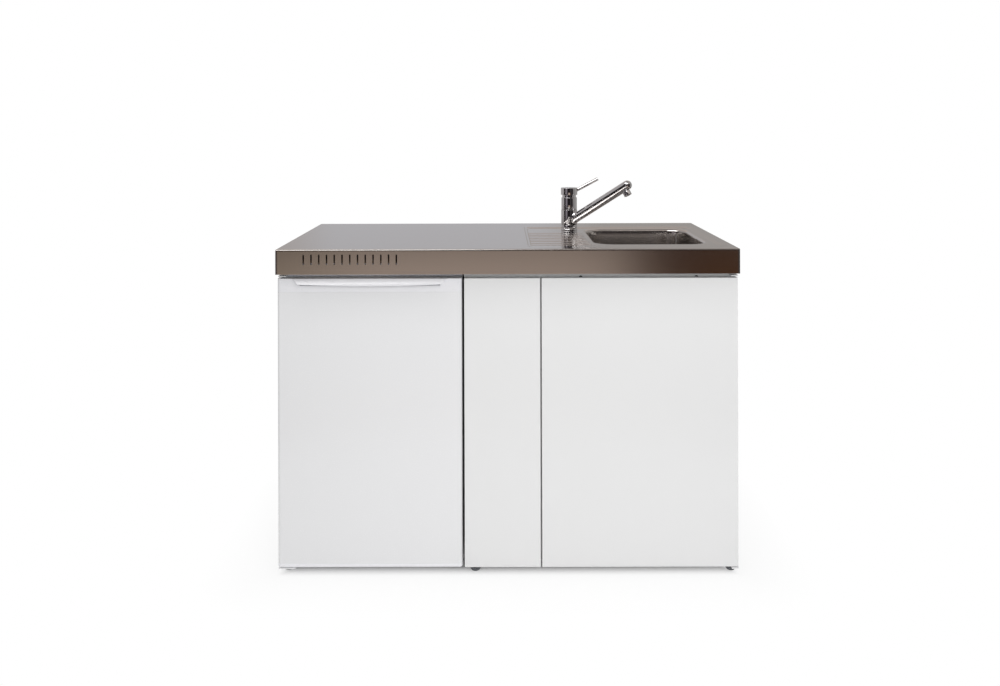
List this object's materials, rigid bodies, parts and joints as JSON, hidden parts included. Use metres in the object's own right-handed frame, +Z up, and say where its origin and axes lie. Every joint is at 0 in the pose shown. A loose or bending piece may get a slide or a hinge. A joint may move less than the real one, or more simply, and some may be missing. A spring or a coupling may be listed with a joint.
{
  "type": "mini kitchen unit",
  "caption": "Free-standing mini kitchen with stainless worktop, drainer and bowl, swivel tap, under-counter refrigerator, narrow pull-out and hinged sink cabinet door.",
  "frame": {"origin": "on the floor, under the centre of the worktop", "axes": "+X to the right along the worktop, +Y to the back, +Z up"},
  "size_m": [1.2, 0.6, 1.0078],
  "materials": {
    "stainless": "satin",
    "chrome": "polished",
    "cartridge_ceramic": "satin",
    "core_wood": "matte",
    "white_powder_coat": "satin",
    "white_coat_fridge": "gloss",
    "white_moulding": "gloss",
    "nylon": "satin",
    "clear_plastic": "gloss",
    "shelf_glass": "polished",
    "zinc_steel": "satin",
    "black_steel": "satin",
    "ice_box_aluminium": "satin",
    "grey_plastic": "matte",
    "dark_plastic": "matte",
    "black_rubber": "matte",
    "seal_rubber": "matte",
    "copper_and_brass": "satin"
  },
  "bodies": {
    "unit": {"worktop": "stainless", "core_board": "core_wood", "sink_bowl": "stainless", "waste_fitting": "stainless", "overflow": "white_moulding", "waste_trap": "white_moulding", "support_rails": "zinc_steel", "rubber_pads": "black_rubber", "tap_base_ring": "chrome", "tap_body": "chrome", "tap_fixings": "copper_and_brass", "cabinet_sides": "white_powder_coat", "cabinet_floor": "white_powder_coat", "cabinet_back": "white_powder_coat", "cabinet_rails": "white_powder_coat", "partition": "white_powder_coat", "shelf": "white_powder_coat", "shelf_pins": "zinc_steel", "hinge_brackets": "white_coat_fridge", "hinge_pins": "zinc_steel", "magnet_catch": "grey_plastic", "slide_outer_rails": "zinc_steel", "cabinet_feet": "grey_plastic", "fridge_feet": "dark_plastic", "foot_screws": "zinc_steel", "fridge_shell": "white_coat_fridge", "fridge_liner": "white_moulding", "fridge_rear_panels": "zinc_steel", "compressor": "black_steel", "condenser": "black_steel", "freezer_box": "ice_box_aluminium", "glass_shelves": "shelf_glass", "thermostat_housing": "white_moulding"},
    "fridge_door": {"fridge_door_skin": "white_coat_fridge", "fridge_door_top_cap": "white_moulding", "fridge_door_bottom_cap": "white_moulding", "fridge_door_liner": "white_moulding", "door_racks": "clear_plastic", "fridge_door_gasket": "seal_rubber"},
    "flap": {"freezer_flap": "white_moulding"},
    "drawer": {"crisper_drawer": "clear_plastic"},
    "knob": {"thermostat_knob": "white_moulding"},
    "wide_door": {"door_outer_pan": "white_powder_coat", "door_inner_pan": "white_powder_coat", "door_bushes": "nylon", "strike_plate": "zinc_steel"},
    "pullout": {"pullout_outer_pan": "white_powder_coat", "pullout_inner_pan": "white_powder_coat", "pullout_frame": "zinc_steel", "pullout_trays": "white_powder_coat", "slide_inner_rails": "zinc_steel"},
    "slide_middles": {"slide_middle_rails": "zinc_steel"},
    "tap_spout": {"spout": "chrome", "aerator": "chrome"},
    "cartridge": {"cartridge_spindle": "cartridge_ceramic", "lever_pivot_pin": "zinc_steel"},
    "lever": {"lever_cap": "chrome", "lever_pin": "chrome"},
    "strainer": {"strainer_basket": "stainless"}
  },
  "joints": [
    {"name": "fridge_door_hinge", "type": "hinge", "parent": "unit", "child": "fridge_door", "pos_m": [-0.586, -0.265, 0.4], "axis": [0, 0, -1], "range_deg": [0, 110]},
    {"name": "freezer_flap_hinge", "type": "hinge", "parent": "unit", "child": "flap", "pos_m": [-0.3585, -0.1345, 0.63], "axis": [1, 0, 0], "range_deg": [0, 85]},
    {"name": "crisper_slide", "type": "slide", "parent": "unit", "child": "drawer", "axis": [0, -1, 0], "range_m": [0, 0.1]},
    {"name": "thermostat_turn", "type": "hinge", "parent": "unit", "child": "knob", "pos_m": [-0.195, -0.065, 0.575], "axis": [-1, 0, 0], "range_deg": [0, 270]},
    {"name": "cabinet_door_hinge", "type": "hinge", "parent": "unit", "child": "wide_door", "pos_m": [0.589, -0.275, 0.4], "axis": [0, 0, 1], "range_deg": [0, 110]},
    {"name": "pullout_slide", "type": "slide", "parent": "unit", "child": "pullout", "axis": [0, -1, 0], "range_m": [0, 0.36]},
    {"name": "slide_middle_travel", "type": "slide", "parent": "unit", "child": "slide_middles", "axis": [0, -1, 0], "range_m": [0, 0.18]},
    {"name": "spout_swivel", "type": "hinge", "parent": "unit", "child": "tap_spout", "pos_m": [0.192, 0.136, 0.88], "axis": [0, 0, 1], "range_deg": [-121, 19]},
    {"name": "lever_turn", "type": "hinge", "parent": "unit", "child": "cartridge", "pos_m": [0.192, 0.136, 0.93], "axis": [0, 0, 1], "range_deg": [-50, 50]},
    {"name": "lever_tilt", "type": "hinge", "parent": "cartridge", "child": "lever", "pos_m": [0.192, 0.136, 0.953], "axis": [0, -1, 0], "range_deg": [0, 18]},
    {"name": "strainer_lift", "type": "slide", "parent": "unit", "child": "strainer", "axis": [0, 0, 1], "range_m": [0, 0.06]}
  ],
  "couplings": [
    {"joint": "freezer_flap_hinge", "follows": "fridge_door_hinge", "ratio": 0.75},
    {"joint": "crisper_slide", "follows": "fridge_door_hinge", "m_per_rad": 0.05},
    {"joint": "slide_middle_travel", "follows": "pullout_slide", "ratio": 0.5}
  ]
}
